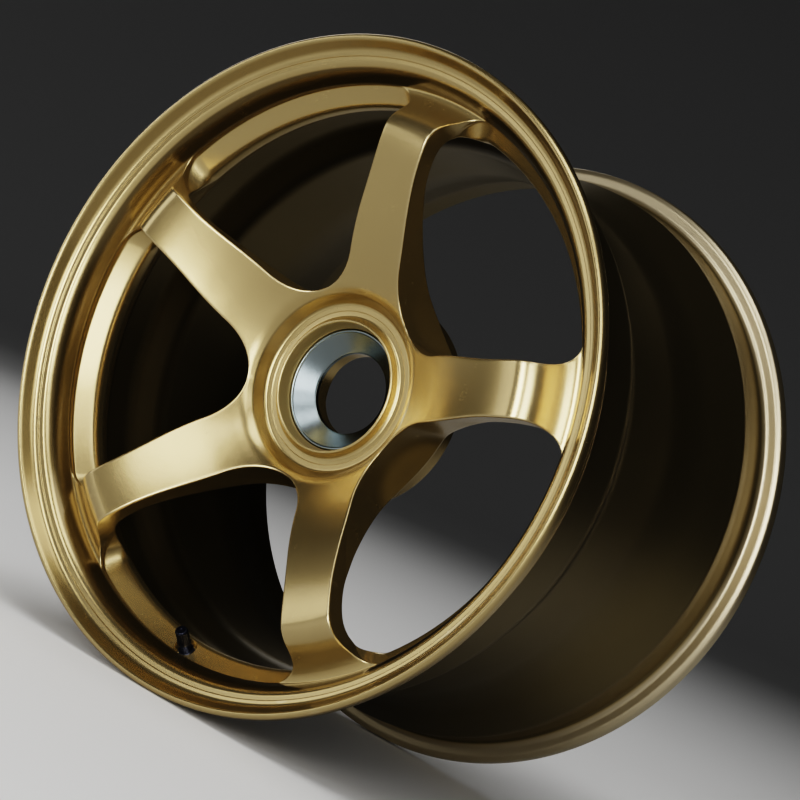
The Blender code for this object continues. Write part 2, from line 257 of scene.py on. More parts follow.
class WindowShape:
    """A window's outline at every depth, grown outwards into the metal by offset."""

    step = 0.25
    deepest = 112.0

    def __init__(self, offset=0.0):
        apex = soften([(-10, APEX), (45, APEX + 0.1, 12), (76, APEX + 1.5, 12),
                       (99, APEX + 8.5, 5), (self.deepest, APEX + 9.5)])
        outer = soften([(-10, POCKET_RADIUS), (27.2, POCKET_RADIUS, 0.4),
                        (32.8, POCKET_RADIUS + 1.6, 1.3), (45.5, LEDGE_RADIUS, 4.5),
                        (self.deepest, LEDGE_RADIUS)], 7)
        inset = [(-10, 0.0), (27, 0.0), (45, 1.0), (75, 1.6), (self.deepest, 1.8)]
        corner = [(-10, 23.0), (27, 23.0), (33, 22.0), (46, 17.0), (self.deepest, 17.0)]
        self.outer_rows = outer[1:-1, 0]
        depths = np.arange(0.0, self.deepest, self.step)
        table = []
        for depth in depths:
            values = [np.interp(depth, *np.array(track)[:, :2].T)
                      for track in (apex, inset, corner, outer)]
            table.append(outline(values[0] - offset, values[1] - offset,
                                 values[2] + offset, values[3] + offset))
        self.table = np.array(table)

    def at(self, depth):
        """Outline points for one depth per outline point."""
        place = np.clip(np.asarray(depth, float) / self.step, 0, len(self.table) - 1.001)
        below = place.astype(int)
        share = (place - below)[..., None]
        column = np.broadcast_to(np.arange(self.table.shape[1]), below.shape)
        return (self.table[below, column] * (1 - share)
                + self.table[below + 1, column] * share)


# ---------------------------------------------------------------- the forging

def front_curve():
    """Front of the disc from the hub's edge to the top of the lip, as (radius, depth)."""
    face = spline([(72.0, 55.9), (77.0, 50.8), (84.0, 46.4), (95.0, 39.8), (107.0, 32.9),
                   (120.0, 26.2), (132.0, 20.4), (145.0, 15.0), (157.0, 10.4), (168.0, 6.6),
                   (178.0, 3.7), (187.0, 1.7), (196.0, 0.6), (203.0, 2.8), (212.0, 11.8),
                   (221.0, 22.8), (226.5, 26.4)], 2.0)
    lip = soften([(226.5, 26.4), (POCKET_RADIUS, 27.2, 1.1), (235.4, 15.8, 6.0),
                  (240.4, 9.3, 2.4), (242.6, 7.9, 0.9), (246.0, 7.4, 0.3), (246.4, 6.5, 0.3),
                  (250.4, 5.6, 3.4), (256.0, -2.4, 1.2), (257.0, -FLANGE_EDGE, 0.8),
                  (258.6, -FLANGE_EDGE)], 6)
    return np.vstack((face, lip[1:]))


def rear_curve():
    """Back of the disc from the hub pad's side to the barrel, as (radius, depth)."""
    return spline([(83.5, 101.0), (88.0, 95.0), (100.0, 79.5), (115.0, 62.5), (131.0, 47.8),
                   (144.0, 38.0), (157.0, 30.5), (168.0, 24.6), (178.0, 21.2), (188.0, 19.6),
                   (197.0, 20.8), (206.0, 28.0), (215.0, 45.0), (222.5, 63.8)], 2.0)


def hub_section(start, end):
    """Hub profile from the front rows, through the bore, to the rear rows."""
    mount = SIZES["mount_depth"]
    seat_bore, throat, pilot, pad = 48.3, 32.6, 42.05, 83.5
    floor = SIZES["seat_back"] + 0.3
    points = [(*start, 0), (72.0, 55.9, 0.9), (66.6, 64.2, 1.4), (65.2, 64.9, 0.9),
              (60.9, 65.0, 0.25), (60.5, 65.5, 0.25), (56.6, 65.5, 0.8), (54.6, 64.2, 1.3),
              (53.0, 60.2, 0.6), (52.3, 59.6, 0.4), (51.2, 59.6, 0.4), (50.6, 60.2, 0.5),
              (seat_bore + 0.4, 70.4, 0.5), (seat_bore, 71.2, 0.3), (seat_bore, floor, 0.3),
              (throat, floor, 0.4), (throat, 99.4, 0.3), (throat + 1.8, 101.0, 0.3),
              (pilot, 101.0, 0.4), (pilot, mount - 1.0, 0.2), (pilot + 1.0, mount, 0.2),
              (pad - 1.5, mount, 0.5), (pad, mount - 1.5, 0.5), (pad, 101.4, 1.2), (*end, 0)]
    return soften(points)


def barrel_section(front, end):
    """Lip, tyre side, inboard flange and drum, from the front rows to the rear rows."""
    mid = SIZES["half_width"]
    flange = SIZES["flange"]
    tyre_edge = [(258.9, -FLANGE_EDGE, 1.4), (flange - 0.4, -2.0, 1.2), (flange, 0.4, 0.8),
                 (260.6, 7.2, 1.6), (256.5, 9.5, 1.5), (248.6, 9.5, 2.2),
                 (243.9, 15.2, 2.6), (242.6, 31.0, 2.5)]
    inner_edge = [(radius, 2 * mid - depth, blend) for radius, depth, blend in tyre_edge[::-1]]
    well = [(243.7, 36.6, 1.8), (243.3, 40.0, 1.8), (240.6, 45.5, 3.0), (235.0, 51.5, 4.0),
            (234.5, 98.0, 6.0), (229.5, 107.0, 6.0), (219.5, 126.0, 9.0), (219.5, 205.0, 12.0),
            (225.0, 234.0, 12.0), (241.0, 275.5, 5.0), (243.5, 281.5, 2.0), (243.3, 285.5, 2.0)]
    drum = [(257.0, 2 * mid + FLANGE_EDGE, 0.8), (255.6, 2 * mid + 2.2, 1.5),
            (249.6, 2 * mid - 3.2, 2.6), (240.2, 2 * mid - 6.8, 2.2), (238.8, 2 * mid - 10, 2.0),
            (238.4, 289.0, 5.0), (220.8, 235.0, 12.0), (215.2, 205.0, 12.0),
            (215.2, 126.0, 9.0), (227.8, 103.0, 5.0), (229.6, 96.0, 3.0), (229.6, 71.0, 3.0),
            (223.6, 65.0, 2.0), (*end, 0)]
    points = [(*front[-1], 0)] + tyre_edge + well + inner_edge + drum
    return np.vstack((front[:-1], soften(points)))


def relief(radius, across):
    """Depth of the milled pocket in the back of a spoke."""
    depth, half, wall = 7.0, 11.6, 0.9
    side = 1 - smooth_step(across, half - wall, half + wall)
    floor = 1 - 0.12 * smooth_step(across, 0.45 * half, half - wall)
    ends = smooth_step(radius, 108.0, 121.0) * (1 - smooth_step(radius, 186.0, 197.0))
    return depth * side * floor * ends


def polar(radius, angle, depth):
    """(x, depth, z) points about the axle; the three arguments broadcast."""
    radius, angle, depth = np.broadcast_arrays(radius, angle, depth)
    return np.stack((radius * np.cos(angle), depth, radius * np.sin(angle)), axis=-1)


def join_depth(flat, depth):
    return np.stack((flat[..., 0], depth, flat[..., 1]), axis=-1)


def spoke_rows(ring, curve, aligned):
    """Rows at constant radius from a window's edge to the spoke's centre line.

    aligned spaces the columns so that they follow the edges of the relief pocket.
    """
    radius = np.linalg.norm(ring, axis=-1)[:, None]
    first = np.arctan2(ring[:, 1], ring[:, 0])[:, None]
    share = np.linspace(0.0, 1.0, SPOKE_COLUMNS + 1)[None, :]
    angle = first + (HALF_SECTOR - first) * share
    depth = np.interp(radius, *curve.T)
    if aligned:
        spare = SPOKE_COLUMNS + 1 - len(POCKET_COLUMNS)
        across = radius * np.sin(HALF_SECTOR - first)
        outer = across + (POCKET_COLUMNS[0] - across) * np.arange(spare)[None, :] / spare
        lined = np.hstack((outer, np.repeat([POCKET_COLUMNS], len(radius), axis=0)))
        lined = HALF_SECTOR - np.arcsin(lined / radius)
        lined_from, lined_by = 88.0, 106.0
        blend = smooth_step(radius, lined_from, lined_by)
        angle = angle * (1 - blend) + lined * blend
        depth = depth - relief(radius, radius * np.sin(HALF_SECTOR - angle))
    return polar(radius, angle, depth), angle


def half_sector_grids():
    """Every surface of the forging between a window's middle and a spoke's middle."""
    front, rear = front_curve(), rear_curve()
    shape = WindowShape()
    last = ARC_STEPS + SIDE_STEPS + CORNER_STEPS
    count = last + OUTER_STEPS + 1

    # Front edge of the window: wide rounding on the spokes, a crisp one at the lip's foot
    share = smooth_step(np.arange(count), last - CORNER_STEPS * 0.6, last)[:, None]
    edge = shape.at(np.zeros(count))
    brow = (WindowShape(SPOKE_REACH).at(np.zeros(count)) * (1 - share)
            + WindowShape(FOOT_REACH).at(np.zeros(count)) * share)
    reach = SPOKE_REACH + (FOOT_REACH - SPOKE_REACH) * share[:, 0]
    edge_depth = np.interp(np.linalg.norm(edge, axis=-1), *front.T)
    top = edge_depth + reach
    brow_depth = np.interp(np.linalg.norm(brow, axis=-1), *front.T)

    # Rear edge: where the window's wall meets the back of the disc
    deepest = 106.0
    low, high = top.copy(), np.full(count, deepest)
    for _ in range(HALVINGS):
        middle = (low + high) / 2
        inside = np.interp(np.linalg.norm(shape.at(middle), axis=-1), *rear.T) > middle
        low, high = np.where(inside, middle, low), np.where(inside, high, middle)
    bottom = low
    rim = WindowShape(REAR_REACH).at(bottom)
    rim_depth = np.interp(np.linalg.norm(rim, axis=-1), *rear.T)

    levels = np.sort(np.concatenate((shape.outer_rows, WALL_LEVELS)))[:, None]
    depth = np.clip(levels, top[None, :], (bottom - REAR_REACH)[None, :])
    wall = join_depth(shape.at(depth), depth)
    first, end = join_depth(brow, brow_depth), join_depth(rim, rim_depth)
    upper = bezier(first, join_depth(edge, edge_depth), join_depth(shape.at(top), top),
                   EDGE_STEPS)
    foot = bottom - REAR_REACH
    lower = bezier(join_depth(shape.at(foot), foot), join_depth(shape.at(bottom), bottom), end,
                   EDGE_STEPS)

    face, face_angle = spoke_rows(brow[:last + 1], front, False)
    back, back_angle = spoke_rows(rim[:last + 1], rear, True)

    # Columns of the turned stretches, in step with the rows they join
    lip_angle = np.concatenate((np.arctan2(brow[:last:-1, 1], brow[:last:-1, 0]),
                                face_angle[last]))
    drum_angle = np.concatenate((np.arctan2(rim[:last:-1, 1], rim[:last:-1, 0]),
                                 back_angle[last]))
    lip_radius = np.linalg.norm(brow[last])
    lip_start = np.array([[lip_radius, np.interp(lip_radius, *front.T)]])
    lip = np.vstack((lip_start, front[front[:, 0] > lip_radius + 0.05]))
    drum_radius = np.linalg.norm(rim[last])
    barrel = barrel_section(lip, (drum_radius, np.interp(drum_radius, *rear.T)))
    turn = np.linspace(0.0, 1.0, len(barrel))[:, None]
    barrel_angle = lip_angle * (1 - turn) + drum_angle * turn
    barrel_grid = polar(barrel[:, :1], barrel_angle, barrel[:, 1:])

    hub_start, hub_end = np.linalg.norm(brow[0]), np.linalg.norm(rim[0])
    hub = hub_section((hub_start, np.interp(hub_start, *front.T)),
                      (hub_end, np.interp(hub_end, *rear.T)))
    hub_grid = polar(hub[:, :1], face_angle[:1], hub[:, 1:])
    return [face, upper, wall, lower, back, barrel_grid, hub_grid]


def wheel_mesh():
    """Half a sector, mirrored and repeated around the axle."""
    points, faces, total = [], [], 0
    for grid in half_sector_grids():
        rows, columns = grid.shape[:2]
        quads = grid_faces(rows, columns)
        points.append(grid.reshape(-1, 3))
        faces.append(quads + total)
        total += rows * columns
    points, faces = np.vstack(points), np.vstack(faces)
    radius = np.hypot(points[:, 0], points[:, 2])
    angle = np.arctan2(points[:, 2], points[:, 0])
    all_points, all_faces = [], []
    for k in range(SPOKES):
        middle = SIZES["phase"] + HALF_SECTOR * (2 * k + 1)
        for side in (1, -1):
            place = polar(radius, middle + side * angle, points[:, 1] - SIZES["half_width"])
            all_faces.append((faces if side > 0 else faces[:, ::-1])
                             + len(all_points) * total)
            all_points.append(place)
    return mesh_from_arrays("wheel", np.vstack(all_points) * MM, np.vstack(all_faces))


def cutter(name, profile, place, steps):
    data = lathe_mesh(name, profile, steps, place)
    item = bpy.data.objects.new(name, data)
    bpy.context.scene.collection.objects.link(item)
    return item


def cut(target, tools):
    """Take the tools out of the target's mesh, then drop the tools."""
    for tool in tools:
        change = target.modifiers.new("cut", "BOOLEAN")
        change.operation, change.solver, change.object = "DIFFERENCE", "EXACT", tool
    bpy.context.view_layer.update()
    shape = target.evaluated_get(bpy.context.evaluated_depsgraph_get())
    data = bpy.data.meshes.new_from_object(shape)
    for tool in tools:
        bpy.data.objects.remove(tool, do_unlink=True)
    return data


def pin_and_valve_tools():
    """Cutters for the bushes' holes, the valve's two spot faces and its bore."""
    hole, chamfer, length = 10.3, 0.7, 25.0
    tools = []
    for node in BUSHES:
        place, bush = bush_place(node)
        depth = bush + 0.5
        place = place @ Matrix.Translation((0, 0, -0.4 * MM))
        profile = soften([(0, 0), (hole, 0, 0.6), (hole, depth - chamfer + 0.4),
                          (hole + chamfer + 1.0, depth + 1.4), (0, length + 2.0)], 4)
        tools.append(cutter("tool_" + node, profile, place, 48))
    place = valve_place()
    face, stem_hole, wall = 9.2, 5.85, 4.5
    spot = soften([(0, 0), (face, 0, 1.2), (face, CLEAR), (0, CLEAR)], 6)
    seal = [(0, -CLEAR), (face, -CLEAR), (face, -wall), (0, -wall)]
    bore = [(0, -2 * wall), (stem_hole, -2 * wall), (stem_hole, wall), (0, wall)]
    for name, profile in (("spot", spot), ("seal", seal), ("bore", bore)):
        tools.append(cutter("tool_" + name, profile, place, 64))
    return tools


def build_forging():
    raw = bpy.data.objects.new("wheel_raw", wheel_mesh())
    bpy.context.scene.collection.objects.link(raw)
    data = cut(raw, pin_and_valve_tools())
    bpy.data.objects.remove(raw, do_unlink=True)
    bm = bmesh.new()
    bm.from_mesh(data)
    data = finish_mesh("forged_wheel", bm)
    add_piece("forged_wheel", data, gold_paint(), "rim", "wheel_forging")


# ---------------------------------------------------------------- hub fittings

def axle_place():
    """Frame at the front flange circle's centre whose Z axis points inboard."""
    stand = Matrix.Translation(Vector((0, -SIZES["half_width"], 0)) * MM)
    return stand @ Matrix.Rotation(-math.pi / 2, 4, "X")


def build_seat():
    """Hardened cone seat with fine turned steps at its edges."""
    front, back = SIZES["seat_front"], SIZES["seat_back"]
    outer, throat = 48.0, 32.0
    profile = soft_ring([(outer, front + 1.0), (outer, back, 0.5), (throat + 0.4, back, 0.3),
                         (throat, back - 0.4, 0.2), (throat, back - 3.4, 0.5),
                         (throat + 1.1, back - 4.5, 0.35), (45.4, front + 1.0, 0.35),
                         (45.8, front + 0.2, 0.2), (46.4, front, 0.3), (47.2, front, 0.3)])
    data = lathe_mesh("cone_seat", profile, 160, axle_place(), sharp=50)
    add_piece("cone_seat", data, turned_steel(), "rim", "centre_lock_seat")


def build_bushes():
    """Drive pin bushes with chamfered ends and a groove inside."""
    metal = bush_metal()
    outer, bore, groove = 10.0, 7.5, 0.3
    for node in BUSHES:
        place, length = bush_place(node)
        profile = soft_ring([(outer, 0.6), (outer, length - 0.8, 0.3),
                             (outer - 0.7, length, 0.25), (bore + 1.2, length, 0.4),
                             (bore, length - 1.5, 0.5), (bore, 14.0, 0.3),
                             (bore + groove, 13.7, 0.1), (bore + groove, 12.3, 0.1),
                             (bore, 12.0, 0.3), (bore, 1.0, 0.3), (bore + 1.0, 0.0, 0.3),
                             (outer - 0.6, 0.0, 0.3)], 4)
        name = node.replace("drive_bush", "bush_sleeve")
        data = lathe_mesh(name, profile, 56, place, sharp=50)
        add_piece(name, data, metal, "rim", node)


# ---------------------------------------------------------------- valve

THREAD_PITCH = 25.4 / 32
THREAD_DEPTH = 0.36
THREAD_INSIDE = 3.2         # smaller radii belong to the stem's bore and stay plain


def thread_ripple(low, high):
    """Ripple of an outside thread between two places along its axis."""
    def ripple(radius, along, angle):
        phase = (along / THREAD_PITCH - angle / TAU) % 1.0
        ridge = np.clip(np.abs(phase - 0.5) * 2.6 - 0.4, 0.0, 1.0)
        fade = smooth_step(along, low, low + 0.5) * (1 - smooth_step(along, high - 0.5, high))
        return radius - np.where(radius > THREAD_INSIDE, ridge * THREAD_DEPTH * fade, 0.0)
    return ripple


def fine_steps(points, spacing):
    """Polyline with extra points, so that no step is longer than spacing."""
    out = [points[0]]
    for start, end in zip(points, points[1:]):
        parts = max(1, math.ceil(np.linalg.norm(np.subtract(end, start)) / spacing))
        for step in range(1, parts + 1):
            out.append(tuple(np.array(start) + np.subtract(end, start) * step / parts))
    return out


def flute_ripple(low, high, count, depth, rim):
    """Grip flutes around a cap between two places along its axis."""
    def ripple(radius, along, angle):
        wave = np.clip(np.cos(angle * count) * 1.5, -1.0, 1.0) * 0.5 + 0.5
        fade = smooth_step(along, low, low + 0.8) * (1 - smooth_step(along, high - 0.8, high))
        return radius - np.where(radius > rim, wave * depth * fade, 0.0)
    return ripple


def build_valve():
    """Clamp-in valve: grommet, threaded stem, washer, nut, core and screw cap."""
    place = valve_place()
    black, rubber, brass, wire = black_anodise(), soft_rubber(), turned_brass(), spring_wire()

    def turned(name, profile, steps, material, body, slot_name, node, ripple=None, sharp=35.0):
        data = lathe_mesh(name, profile, steps, place, ripple, sharp)
        add_piece(name, data, material, body, node)

    head = 4.8               # seal face to underside of the stem's head, grommet let in
    grommet = soft_ring([(7.8, -head - 2.4), (7.8, -head, 0.4), (5.5, -head, 0.3),
                         (5.5, -0.4, 0.4), (4.3, -0.4, 0.3), (4.3, -head - 2.4, 0.4)])
    turned("stem_grommet", grommet, 48, rubber, "rim", "rubber", "valve_grommet")

    plain = list(map(tuple, soften([(1.5, -10.2), (6.4, -10.2, 0.5), (7.0, -9.6, 0.4),
                                    (7.0, -7.5, 0.4), (4.0, -7.5, 0.3), (4.0, 1.6)], 4)))
    threaded = fine_steps([(4.0, 1.6), (4.0, 13.6), (3.8, 14.0), (3.8, 23.6)], 0.1)
    inside = [(3.4, 24.0), (2.7, 24.0), (2.7, 2.0), (1.5, 2.0)]
    turned("threaded_stem", plain + threaded[1:] + inside, 48, black, "rim", "black_anodise",
           "valve_stem", thread_ripple(1.8, 23.6), 60)

    washer = soft_ring([(7.4, 0.3), (7.4, 1.5, 0.4), (4.3, 1.5, 0.2), (4.3, 0.3, 0.2)], 4)
    turned("stem_washer", washer, 64, black, "rim", "black_anodise", "valve_washer")
    build_valve_nut(place, black)

    core = soft_ring([(2.4, 8.0), (2.4, 12.6, 0.2), (2.1, 12.9, 0.2), (2.1, 14.4, 0.2),
                      (2.4, 14.7, 0.2), (2.4, 21.1, 0.3), (2.0, 21.5, 0.2), (0.9, 21.5, 0.1),
                      (0.9, 8.0, 0.1)], 3)
    turned("core_barrel", core, 36, brass, "rim", "brass", "valve_core_body")
    pin = soften([(0, 5.9), (1.8, 5.9, 0.2), (2.0, 6.1, 0.1), (2.0, 6.4, 0.1), (0.6, 6.4, 0.1),
                  (0.6, 22.8, 0.2), (0.4, 23.2, 0.1), (0, 23.2)], 3)
    turned("core_plunger", pin, 24, brass, "core_pin", "brass", "valve_core_pin")
    seal = soft_ring([(2.2, 6.7), (2.2, 7.7, 0.3), (0.9, 7.7, 0.1), (0.9, 6.7, 0.1)], 4)
    turned("plunger_seal", seal, 36, rubber, "core_pin", "rubber", "valve_core_seal")
    build_core_spring(place, wire)

    cap = soften([(5.0, 14.4, 0.3), (5.0, 16.0, 0.2), (4.85, 16.3, 0.2), (4.85, 17.0, 0.2),
                  (5.0, 17.3, 0.2), (5.0, 26.9, 0.6), (4.2, 28.0, 0.5), (3.9, 28.2, 0.2),
                  (1.2, 28.2, 0.2), (1.0, 28.0, 0.2), (0, 28.0)], 4)
    cap = fine_steps(list(map(tuple, cap)), 0.5) + [(0, 26.2), (4.2, 26.2), (4.2, 14.4)]
    turned("screw_cap", cap, 144, black, "cap", "black_anodise", "valve_cap",
           flute_ripple(17.6, 26.4, 18, 0.28, 4.6), 50)
    ring = soft_ring([(3.7, 24.4), (3.7, 25.8, 0.3), (1.6, 25.8, 0.2), (1.6, 24.4, 0.3)], 4)
    turned("cap_washer", ring, 40, rubber, "cap_lift", "rubber", "valve_cap_seal")


def build_valve_nut(place, metal):
    """Hexagon nut with chamfered corners: each point keeps inside six flats and a cone."""
    flats, bore, low, high, chamfer, steps = 6.0, 4.3, 1.8, 7.3, 0.9, 96
    profile = fine_steps([(bore + 0.5, low), (flats - 0.2, low), (flats + 1.0, low + chamfer),
                          (flats + 1.0, high - chamfer), (flats - 0.2, high),
                          (bore + 0.5, high), (bore, high - 0.5), (bore, low + 0.5)], 0.4)

    def hexagon(radius, along, angle):
        turned = (angle + math.pi / 6) % (math.pi / 3) - math.pi / 6
        return np.minimum(radius, np.where(radius > bore + 0.6, flats / np.cos(turned), radius))

    data = lathe_mesh("stem_nut", profile, steps, place, hexagon, 28)
    add_piece("stem_nut", data, metal, "rim", "valve_nut")


def build_core_spring(place, metal):
    """Coil spring with closed, flattened end turns."""
    coil, wire, low, high, turns = 1.55, 0.24, 2.6, 4.1, 2.5
    around, sides = 120, 12
    step = np.linspace(0.0, 1.0, around + 1)[:, None]
    angle = TAU * turns * step
    side = TAU * np.arange(sides)[None, :] / sides
    radius = coil + wire * np.cos(side)
    rise = low + (high - low) * (step + 0.05 * np.sin(TAU * step)) + wire * np.sin(side)
    points = np.stack((radius * np.cos(angle), radius * np.sin(angle),
                       np.broadcast_to(rise, angle.shape[:1] + (sides,))), axis=-1) * MM
    points = points.reshape(-1, 3) @ np.array(place.to_3x3()).T + np.array(place.translation)
    faces = grid_faces(around + 1, sides, False, True).tolist()
    faces += [list(range(sides))[::-1], [around * sides + k for k in range(sides)]]
    data = bpy.data.meshes.new("core_coil")
    data.from_pydata(points.tolist(), [], faces)
    bm = bmesh.new()
    bm.from_mesh(data)
    data = finish_mesh("core_coil", bm, 60)
    add_piece("core_coil", data, metal, "rim", "valve_core_spring")


# ---------------------------------------------------------------- materials

class Nodes:
    """Small helper that adds and links shader nodes of one material."""

    def __init__(self, name):
        self.material = bpy.data.materials.new(name)
        self.material.use_nodes = True
        self.tree = self.material.node_tree
        self.shader = self.tree.nodes["Principled BSDF"]
        self.place = self.add("ShaderNodeTexCoord").outputs["Object"]

    def add(self, kind, **settings):
        node = self.tree.nodes.new(kind)
        for key, value in settings.items():
            setattr(node, key, value)
        return node

    def link(self, output, socket):
        self.tree.links.new(output, socket)

    def noise(self, scale, detail=3.0, rough=0.5, where=None):
        node = self.add("ShaderNodeTexNoise")
        node.inputs["Scale"].default_value = scale
        node.inputs["Detail"].default_value = detail
        node.inputs["Roughness"].default_value = rough
        self.link(where or self.place, node.inputs["Vector"])
        return node.outputs["Fac"]

    def cells(self, scale):
        node = self.add("ShaderNodeTexVoronoi")
        node.inputs["Scale"].default_value = scale
        self.link(self.place, node.inputs["Vector"])
        return node.outputs["Color"]

    def remap(self, value, low, high, to_low, to_high):
        node = self.add("ShaderNodeMapRange", clamp=True)
        self.link(value, node.inputs["Value"])
        for key, number in (("From Min", low), ("From Max", high),
                            ("To Min", to_low), ("To Max", to_high)):
            node.inputs[key].default_value = number
        return node.outputs["Result"]

    def math(self, operation, first, second):
        node = self.add("ShaderNodeMath", operation=operation)
        for socket, value in zip(node.inputs, (first, second)):
            if isinstance(value, (int, float)):
                socket.default_value = value
            else:
                self.link(value, socket)
        return node.outputs["Value"]

    def mix(self, share, first, second, blend="MIX"):
        """Mix of two colours, given as tuples or outputs, by share."""
        node = self.add("ShaderNodeMix", data_type="RGBA", blend_type=blend)
        sockets = [socket for socket in node.inputs if socket.type == "RGBA"]
        factor = node.inputs[0]
        if isinstance(share, (int, float)):
            factor.default_value = share
        else:
            self.link(share, factor)
        for socket, value in zip(sockets, (first, second)):
            if isinstance(value, tuple):
                socket.default_value = (*value, 1.0)
            else:
                self.link(value, socket)
        return next(socket for socket in node.outputs if socket.type == "RGBA")

    def bump(self, height, distance, strength, normal=None):
        node = self.add("ShaderNodeBump")
        node.inputs["Distance"].default_value = distance
        node.inputs["Strength"].default_value = strength
        self.link(height, node.inputs["Height"])
        if normal:
            self.link(normal, node.inputs["Normal"])
        return node.outputs["Normal"]

    def turned_radius(self):
        """Distance from the axle and place along it, both in metres."""
        split = self.add("ShaderNodeSeparateXYZ")
        self.link(self.place, split.inputs["Vector"])
        squares = self.math("ADD", self.math("POWER", split.outputs["X"], 2.0),
                            self.math("POWER", split.outputs["Z"], 2.0))
        return self.math("SQRT", squares, 0.0), split.outputs["Y"]

    def lathe_marks(self, scale):
        """Fine concentric lines, from noise along the radius and the axle only."""
        radius, along = self.turned_radius()
        node = self.add("ShaderNodeCombineXYZ")
        self.link(radius, node.inputs["X"])
        self.link(along, node.inputs["Y"])
        return self.noise(scale, 4.0, 0.65, node.outputs["Vector"])

    def edges(self, low, high):
        """Rises from 0 to 1 on convex edges."""
        geometry = self.add("ShaderNodeNewGeometry")
        return self.remap(geometry.outputs["Pointiness"], low, high, 0.0, 1.0)

    def set(self, **values):
        names = {"colour": "Base Color", "rough": "Roughness", "metal": "Metallic",
                 "normal": "Normal", "coat": "Coat Weight", "coat_rough": "Coat Roughness",
                 "anisotropy": "Anisotropic", "tangent": "Tangent"}
        for key, value in values.items():
            socket = self.shader.inputs[names[key]]
            if isinstance(value, (int, float)):
                socket.default_value = value
            elif isinstance(value, tuple):
                socket.default_value = (*value, 1.0)
            else:
                self.link(value, socket)


def turned_band(n, value, start, end, blend):
    """1 where value lies between start and end, in millimetres, with soft borders."""
    rise = n.remap(value, (start - blend / 2) * MM, (start + blend / 2) * MM, 0.0, 1.0)
    fall = n.remap(value, (end - blend / 2) * MM, (end + blend / 2) * MM, 1.0, 0.0)
    return n.math("MULTIPLY", rise, fall)


def turned_zone(n, radii, depths, blend=1.0):
    """1 on surfaces inside a range of radii and a range of depths, in millimetres."""
    radius, along = n.turned_radius()
    depth = n.math("ADD", along, SIZES["half_width"] * MM)
    return n.math("MULTIPLY", turned_band(n, radius, *radii, blend),
                  turned_band(n, depth, *depths, blend))


# Where the paint is darkened, to match the photo's shade: radii and depths, how soft the
# borders are, and what the tone is multiplied by
SHADED_ZONES = [
    ((231.4, 239.0), (0.0, 29.0), 1.0, (0.30, 0.285, 0.255)),       # lip's inner face
    ((250.9, 255.9), (-4.0, 7.0), 1.6, (0.60, 0.57, 0.50)),         # outboard flange's slope
    ((66.2, 73.0), (55.0, 70.0), 1.0, (0.60, 0.58, 0.52)),          # wall of the hub's groove
    ((160.0, 229.5), (100.0, 128.0), 8.0, (0.45, 0.45, 0.45)),      # step inside the drum
]


def gold_paint():
    """Satin champagne gold paint with flake and brighter edges (painted highlight), a paler inboard flange
    (painted highlight), and a much darker tone over the barrel and drum (painted shade), where the clear coat is
    also thinner.
    """
    n = Nodes("satin_gold_paint")
    flake = n.cells(2600.0)
    split = n.add("ShaderNodeSeparateColor")
    n.link(flake, split.inputs["Color"])
    tone = n.mix(n.noise(9.0, 2.0), (0.60, 0.455, 0.212), (0.625, 0.477, 0.226))
    sparkle = n.remap(split.outputs["Red"], 0.0, 1.0, 0.0, 0.08)
    tone = n.mix(sparkle, tone, (0.76, 0.62, 0.36))
    # painted highlight: convex edges are lightened towards a pale gold
    tone = n.mix(n.math("MULTIPLY", n.edges(0.508, 0.54), 0.35), tone, (0.82, 0.69, 0.44))

    # painted shade: the drum and the barrel's outside take a much darker tone
    drum = turned_zone(n, (190.0, 245.8), (65.0, 400.0))
    outside = turned_zone(n, (231.0, 245.8), (49.5, 400.0), 2.0)
    barrel = n.math("MAXIMUM", drum, outside)
    barrel_shade_tone = n.mix(n.noise(14.0, 3.0), (0.190, 0.152, 0.078), (0.215, 0.172, 0.090))
    tone = n.mix(barrel, tone, barrel_shade_tone)
    for radii, depths, blend, shade in SHADED_ZONES:
        tone = n.mix(turned_zone(n, radii, depths, blend), tone, shade, "MULTIPLY")

    # painted highlight: the inboard flange is painted half-way to a pale cream
    rear_flange = turned_zone(n, (246.5, 262.0), (310.0, 340.0), 1.5)
    tone = n.mix(n.math("MULTIPLY", rear_flange, 0.5), tone, (0.82, 0.74, 0.58))

    rough = n.math("ADD", n.remap(n.noise(60.0, 3.0), 0.3, 0.7, 0.25, 0.265),
                   n.remap(split.outputs["Green"], 0.0, 1.0, -0.01, 0.01))
    rough = n.math("ADD", rough, n.math("MULTIPLY", barrel, 0.14))
    seat_wall = turned_zone(n, (47.0, 51.2), (60.0, 72.0), 0.6)
    rough = n.math("ADD", rough, n.math("MULTIPLY", seat_wall, 0.25))
    rough = n.math("ADD", rough, n.math("MULTIPLY", rear_flange, 0.08))
    peel = n.bump(n.noise(420.0, 2.0), 0.0003, 0.012)
    normal = n.bump(split.outputs["Blue"], 0.0001, 0.03, peel)
    coat = n.remap(barrel, 0.0, 1.0, 0.35, 0.08)
    n.set(colour=tone, rough=rough, metal=0.92, normal=normal, coat=coat, coat_rough=0.10)
    return n.material


def turned_steel():
    """Hardened steel seat with concentric lathe marks and a faint blue tint."""
    n = Nodes("turned_seat_steel")
    marks = n.lathe_marks(2600.0)
    tone = n.mix(marks, (0.25, 0.298, 0.312), (0.32, 0.372, 0.388))
    tone = n.mix(n.remap(n.noise(70.0, 5.0), 0.5, 0.8, 0.0, 0.25), tone, (0.20, 0.235, 0.25))
    rough = n.remap(n.noise(90.0, 4.0), 0.3, 0.7, 0.19, 0.24)
    tangent = n.add("ShaderNodeTangent", direction_type="RADIAL", axis="Y").outputs["Tangent"]
    n.set(colour=tone, rough=rough, metal=1.0, normal=n.bump(marks, 0.0002, 0.12),
          anisotropy=0.7, tangent=tangent)
    return n.material


